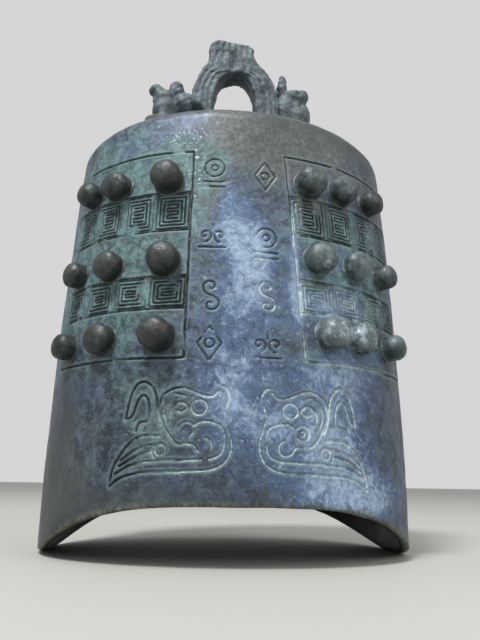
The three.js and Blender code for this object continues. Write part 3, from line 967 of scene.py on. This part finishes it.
# ---- materials ----
class Finish:
    """A node material whose every look comes from layered procedural noise."""

    def __init__(self, name):
        self.material = bpy.data.materials.new(name)
        self.material.use_nodes = True
        self.tree = self.material.node_tree
        self.tree.nodes.clear()
        self.shader = self.tree.nodes.new("ShaderNodeBsdfPrincipled")
        output = self.tree.nodes.new("ShaderNodeOutputMaterial")
        self.tree.links.new(self.shader.outputs["BSDF"], output.inputs["Surface"])
        self.place = self.tree.nodes.new("ShaderNodeTexCoord").outputs["Object"]

    def put(self, socket, value):
        if isinstance(value, bpy.types.NodeSocket):
            self.tree.links.new(value, socket)
        elif isinstance(value, tuple):
            socket.default_value = (*value, 1.0) if len(value) == 3 and socket.type == "RGBA" else value
        else:
            socket.default_value = value

    def attribute(self, name):
        node = self.tree.nodes.new("ShaderNodeAttribute")
        node.attribute_name = name
        return node.outputs["Fac"]

    def shifted(self, offset):
        node = self.tree.nodes.new("ShaderNodeMapping")
        self.tree.links.new(self.place, node.inputs["Vector"])
        node.inputs["Location"].default_value = (offset, offset * 0.7, offset * 1.3)
        return node.outputs["Vector"]

    def noise(self, size, offset, detail=5.0, roughness=0.6, distortion=0.0):
        """Noise from 0 to 1 with features about size millimetres across."""
        node = self.tree.nodes.new("ShaderNodeTexNoise")
        self.tree.links.new(self.shifted(offset), node.inputs["Vector"])
        node.inputs["Scale"].default_value = 1 / (size * MM)
        node.inputs["Detail"].default_value = detail
        node.inputs["Roughness"].default_value = roughness
        node.inputs["Distortion"].default_value = distortion
        return node.outputs["Fac"]

    def cells(self, size, offset):
        node = self.tree.nodes.new("ShaderNodeTexVoronoi")
        self.tree.links.new(self.shifted(offset), node.inputs["Vector"])
        node.inputs["Scale"].default_value = 1 / (size * MM)
        return node.outputs["Distance"]

    def span(self, value, low, high, start=0.0, end=1.0):
        """Maps low..high smoothly to start..end, held beyond both."""
        node = self.tree.nodes.new("ShaderNodeMapRange")
        node.interpolation_type = "SMOOTHSTEP"
        keys = ("Value", "From Min", "From Max", "To Min", "To Max")
        for key, entry in zip(keys, (value, low, high, start, end)):
            self.put(node.inputs[key], entry)
        return node.outputs["Result"]

    def math(self, operation, a, b):
        node = self.tree.nodes.new("ShaderNodeMath")
        node.operation = operation
        self.put(node.inputs[0], a)
        self.put(node.inputs[1], b)
        return node.outputs["Value"]

    def times(self, a, b):
        return self.math("MULTIPLY", a, b)

    def plus(self, a, b):
        return self.math("ADD", a, b)

    def mix(self, share, a, b):
        node = self.tree.nodes.new("ShaderNodeMix")
        node.data_type = "RGBA"
        self.put(node.inputs[0], share)
        self.put(node.inputs[6], a)
        self.put(node.inputs[7], b)
        return node.outputs[2]

    def bump(self, height, distance):
        """Raises the surface by up to distance millimetres."""
        node = self.tree.nodes.new("ShaderNodeBump")
        node.inputs["Distance"].default_value = distance * MM
        self.put(node.inputs["Height"], height)
        return node.outputs["Normal"]

    def finish(self, colour, roughness, metallic, normal):
        keys = ("Base Color", "Roughness", "Metallic", "Normal")
        for key, value in zip(keys, (colour, roughness, metallic, normal)):
            self.put(self.shader.inputs[key], value)
        return self.material


def body_finish():
    f = Finish("patinated_bronze")
    hollow, pale, green = f.attribute("cavity"), f.attribute("pale"), f.attribute("green")
    brown, glint, inside = f.attribute("brown"), f.attribute("glint"), f.attribute("inside")
    cloud, patch = f.noise(30, 1.3, 4), f.noise(12, 4.1, 7, 0.68, 0.5)
    mottle, fine = f.noise(4.2, 7.7, 6, 0.72, 0.4), f.noise(1.7, 5.2, 5, 0.7)
    grain = f.noise(0.7, 2.9, 4, 0.75)

    # slate ground, bluer or greyer in broad clouds
    colour = f.mix(f.span(mottle, 0.38, 0.62), (0.018, 0.028, 0.040), (0.078, 0.112, 0.146))
    colour = f.mix(f.span(cloud, 0.4, 0.62, 0.0, 0.7), colour, (0.038, 0.058, 0.098))
    colour = f.mix(f.span(patch, 0.5, 0.66, 0.0, 0.7), colour, (0.031, 0.040, 0.045))

    brown_share = f.span(f.plus(f.times(brown, 0.7), f.times(patch, 0.6)), 0.5, 0.9, 0.0, 0.75)
    brown_tone = f.mix(f.span(fine, 0.35, 0.65), (0.026, 0.029, 0.024), (0.096, 0.105, 0.084))
    colour = f.mix(brown_share, colour, brown_tone)

    green_patches = f.plus(f.times(green, 0.62), f.times(f.noise(9, 3.3, 7, 0.74), 0.8))
    green_share = f.span(green_patches, 0.58, 0.95, 0.0, 0.8)
    green_tone = f.mix(f.span(mottle, 0.37, 0.63), (0.028, 0.064, 0.062), (0.120, 0.226, 0.226))
    colour = f.mix(green_share, colour, green_tone)

    # pale bloom in ragged clouds, with a blue cast where it is thin
    bloom = f.plus(f.times(pale, 0.52), f.times(f.noise(7.5, 5.9, 9, 0.78, 0.9), 0.95))
    colour = f.mix(f.span(bloom, 0.54, 0.84, 0.0, 0.8), colour, (0.066, 0.112, 0.212))
    bloom_share = f.span(bloom, 0.76, 0.98, 0.0, 0.88)
    bloom_tone = f.mix(f.span(fine, 0.34, 0.66), (0.149, 0.220, 0.328), (0.310, 0.412, 0.530))
    colour = f.mix(bloom_share, colour, bloom_tone)
    flecks = f.times(f.span(f.noise(2.0, 8.3, 6, 0.74), 0.56, 0.64), f.span(pale, 0.0, 0.8, 0.2, 0.75))
    colour = f.mix(flecks, colour, (0.25, 0.34, 0.43))
    # painted highlight: pale glint specks where the glint mask is high
    glints = f.times(f.span(f.noise(1.2, 13.3, 3, 0.6), 0.59, 0.66), f.span(glint, 0.2, 1.0))
    colour = f.mix(glints, colour, (0.56, 0.62, 0.64))
    scuffs = f.times(f.span(f.noise(2.4, 31.9, 9, 0.8, 1.2), 0.56, 0.62), 0.5)
    colour = f.mix(scuffs, colour, (0.150, 0.200, 0.205))
    stains = f.times(f.span(f.noise(4.2, 21.7, 9, 0.8, 1.0), 0.53, 0.6), f.span(pale, 0.1, 0.9, 0.75, 0.5))
    colour = f.mix(stains, colour, (0.012, 0.019, 0.030))

    # painted shade low on the wall near the rim, and darker patches higher up
    dark_patches_and_shade = f.span(f.plus(f.times(f.attribute("dark_patches_and_shade"), 0.7), f.times(patch, 0.7)), 0.45, 1.0, 0.0, 0.8)
    colour = f.mix(dark_patches_and_shade, colour, f.mix(mottle, (0.014, 0.018, 0.019), (0.044, 0.052, 0.054)))

    # engraved lines are painted dark, as soil and as the shade in them, with pale dust in some places; their
    # lips get a painted highlight
    dusty = f.span(f.plus(f.plus(f.times(pale, 0.6), f.attribute("chalk")), f.times(patch, 0.5)), 0.62, 1.0)
    groove_soil_and_shade = f.times(f.span(hollow, 0.56, 0.86), f.span(dusty, 0.0, 1.0, 0.93, 0.12))
    colour = f.mix(groove_soil_and_shade, colour, (0.008, 0.014, 0.013))
    broken = f.times(f.span(fine, 0.3, 0.6, 0.4, 1.0), f.span(f.noise(6, 41.3, 5), 0.36, 0.54, 0.25, 1.0))
    dust = f.times(f.span(hollow, 0.54, 0.78), f.times(dusty, broken))
    colour = f.mix(dust, colour, f.mix(pale, (0.24, 0.34, 0.31), (0.50, 0.58, 0.60)))
    # painted highlight along the lips of the engraved lines
    painted_lip_highlight = f.mix(fine, (0.074, 0.121, 0.133), (0.198, 0.284, 0.312))
    colour = f.mix(f.span(hollow, 0.495, 0.43, 0.0, 0.45), colour, painted_lip_highlight)
    # the rim's edge is rubbed to a dull brown with green in it
    rubbed = f.times(f.attribute("rim"), f.span(f.noise(7, 51.1, 6, 0.7), 0.3, 0.6, 0.25, 0.9))
    rim_tone = f.mix(f.span(fine, 0.4, 0.6), (0.062, 0.054, 0.038), (0.155, 0.172, 0.128))
    colour = f.mix(rubbed, colour, rim_tone)
    # painted shade: the inner wall is painted near black
    colour = f.mix(f.times(inside, 0.9), colour, (0.012, 0.011, 0.010))

    roughness = f.plus(f.span(patch, 0.3, 0.7, 0.38, 0.54), f.times(f.plus(green_share, bloom_share), 0.2))
    metallic = f.span(f.plus(f.plus(green_share, bloom_share), brown_share), 0.0, 0.7, 0.35, 0.05)
    height = f.plus(f.times(mottle, 0.5), f.plus(f.times(grain, 0.2), f.times(fine, 0.3)))
    pits = f.times(f.span(f.cells(2.2, 3.7), 0.06, 0.24, -0.5, 0.0), f.span(f.noise(9, 2.3), 0.5, 0.62))
    return f.finish(colour, roughness, metallic, f.bump(f.plus(height, pits), 0.34))


def casting_finish(name, dark, light, warm, cool, gloss, seed):
    """Dark cast bronze with painted shade, near black, in its hollows, and a duller bloom on its raised
    parts.
    """
    f = Finish(name)
    hollow = f.attribute("cavity")
    patch, mottle = f.noise(6, seed, 6, 0.65, 0.3), f.noise(2.2, seed + 2, 6, 0.7)
    grain = f.noise(0.7, seed + 5, 4, 0.7)
    colour = f.mix(f.span(patch, 0.35, 0.65), dark, light)
    colour = f.mix(f.span(f.noise(9, seed + 1.7, 5), 0.48, 0.66, 0.0, 0.75), colour, warm)
    colour = f.mix(f.span(f.noise(4.5, seed + 3.1, 7, 0.75), 0.52, 0.7, 0.0, 0.7), colour, cool)
    worn = f.times(f.span(hollow, 0.44, 0.12), f.span(mottle, 0.3, 0.6, 0.2, 0.5))
    colour = f.mix(worn, colour, f.mix(grain, light, (0.20, 0.21, 0.22)))
    dusty = f.plus(f.times(f.attribute("dust"), 0.75), f.times(f.noise(3.4, seed + 9, 7, 0.72), 0.9))
    dust_tone = f.mix(f.span(patch, 0.38, 0.62), (0.036, 0.056, 0.054), (0.105, 0.142, 0.150))
    colour = f.mix(f.span(dusty, 0.6, 0.95, 0.0, 0.9), colour, dust_tone)
    colour = f.mix(f.span(dusty, 1.1, 1.3, 0.0, 0.8), colour, (0.34, 0.42, 0.48))
    # painted shade: the hollows are painted near black
    colour = f.mix(f.span(hollow, 0.56, 0.9, 0.0, 0.85), colour, (0.006, 0.008, 0.007))
    roughness = f.span(mottle, 0.3, 0.7, 0.62 - 0.3 * gloss, 0.86 - 0.24 * gloss)
    metallic = f.span(patch, 0.3, 0.7, 0.3 * gloss, 0.0)
    height = f.plus(f.times(mottle, 0.55), f.times(grain, 0.3))
    return f.finish(colour, roughness, metallic, f.bump(height, 0.3))


# ---- building every piece ----
bronze = body_finish()
boss_bronze = casting_finish(
    "boss_bronze", dark=(0.008, 0.012, 0.012), light=(0.028, 0.038, 0.038),
    warm=(0.027, 0.027, 0.019), cool=(0.046, 0.062, 0.076), gloss=1.0, seed=11.3,
)
loop_bronze = casting_finish(
    "loop_bronze", dark=(0.022, 0.032, 0.040), light=(0.092, 0.124, 0.150),
    warm=(0.046, 0.062, 0.054), cool=(0.078, 0.132, 0.134), gloss=0.45, seed=17.9,
)
plinth_bronze = casting_finish(
    "plinth_bronze", dark=(0.024, 0.034, 0.032), light=(0.062, 0.078, 0.072),
    warm=(0.050, 0.050, 0.034), cool=(0.062, 0.098, 0.092), gloss=0.1, seed=23.1,
)

points, quads, triangles, groove = closed_wall()
wall = new_piece("bell_wall", points, quads, triangles)
add_stain_and_light_masks(wall, hollow=0.5 + 0.5 * groove)
wall_points = mesh_points(wall.data)
above_rim = wall_points[:, 2] - rim_height(np.arctan2(*oval_place(wall_points)))
add_attribute(wall.data, "rim", smoothstep(1.9, 0.5, above_rim))
finish_piece(wall, "bell_body", bronze)

points, quads, triangles = crown_mesh()
crown = new_piece("crown_dome", points, quads, triangles)
add_stain_and_light_masks(crown, hollow=np.full(len(points), 0.5))
finish_piece(crown, "crown_plate", bronze)

FIRST_BOSS_SEED = 501
seeds = itertools.count(FIRST_BOSS_SEED)
for face, turn in (("front", 0.0), ("back", math.pi)):
    for side, sign in (("left", -1), ("right", 1)):
        for row, (height, angles) in enumerate(BOSS_FIELDS[side], 1):
            for column, angle in enumerate(angles, 1):
                size = BOSS_SIZES[column - 1]
                label = f"{face}_{side}_row{row}_col{column}"
                piece = new_piece("stud_" + label, *boss_mesh(sign * angle + turn, height, size, next(seeds)))
                add_stain_and_light_masks(piece, reach=0.35)
                finish_piece(piece, "boss_" + label, boss_bronze)

piece = new_piece("plinth_bar", *plinth_mesh())
add_stain_and_light_masks(piece, reach=0.4)
finish_piece(piece, "loop_plinth", plinth_bronze)

for piece, node in (
    (loop_casting(), "suspension_loop"),
    (beast_casting("beast_left_casting", -1, LEFT_BEAST, LEFT_DETAILS), "left_beast"),
    (beast_casting("beast_right_casting", 1, RIGHT_BEAST, RIGHT_DETAILS), "right_beast"),
):
    add_stain_and_light_masks(piece, reach=0.45, steps=8)
    finish_piece(piece, node, loop_bronze)


# ---- floor, light and camera ----
def add_floor():
    bpy.ops.mesh.primitive_plane_add(size=24)
    floor = bpy.context.object
    floor.name = "floor"
    f = Finish("pale_floor")
    tone = f.mix(f.noise(400, 1.0, 3), (0.385, 0.378, 0.345), (0.41, 0.405, 0.375))
    f.put(f.shader.inputs["Base Color"], tone)
    f.shader.inputs["Roughness"].default_value = 0.75
    floor.data.materials.append(f.material)
    return floor


def add_area_light(name, place, target, size, power, colour):
    light = bpy.data.lights.new(name, "AREA")
    light.shape, light.size, light.energy, light.color = "DISK", size, power, colour
    lamp = bpy.data.objects.new(name, light)
    bpy.context.scene.collection.objects.link(lamp)
    lamp.location = place
    aim = mathutils.Vector(target) - mathutils.Vector(place)
    lamp.rotation_euler = aim.to_track_quat("-Z", "Y").to_euler()
    return lamp


def add_camera(place, yaw, pitch, roll, lens):
    """A camera at a place in metres, with angles in radians and a lens in millimetres."""
    camera = bpy.data.cameras.new("view")
    camera.lens, camera.sensor_width, camera.sensor_fit = lens, 36.0, "AUTO"
    camera.clip_start = 0.01
    eye = bpy.data.objects.new("view", camera)
    bpy.context.scene.collection.objects.link(eye)
    eye.location = place
    level = math.cos(pitch)
    forward = mathutils.Vector((-math.sin(yaw) * level, math.cos(yaw) * level, math.sin(pitch)))
    turn = forward.to_track_quat("-Z", "Y") @ mathutils.Quaternion((0, 0, 1), roll)
    eye.rotation_euler = turn.to_euler()
    bpy.context.scene.camera = eye


add_floor()
add_area_light("soft_key", (-0.34, -0.6, 1.2), (0, 0, 0.1), 0.3, 20.0, (0.97, 0.985, 1.0))
add_area_light("soft_fill", (0.8, -0.8, 0.8), (0, 0, 0.1), 0.9, 5.0, (1.0, 0.98, 0.95))

world = bpy.data.worlds.new("pale_surround")
world.use_nodes = True
world.node_tree.nodes["Background"].inputs["Color"].default_value = (0.86, 0.855, 0.87, 1.0)
world.node_tree.nodes["Background"].inputs["Strength"].default_value = 0.78
bpy.context.scene.world = world

add_camera((-0.01946, -0.26483, 0.0266), yaw=-0.0916, pitch=0.269, roll=0.0158, lens=33.51)

view = bpy.context.scene.view_settings
view.view_transform, view.look = "Standard", "None"
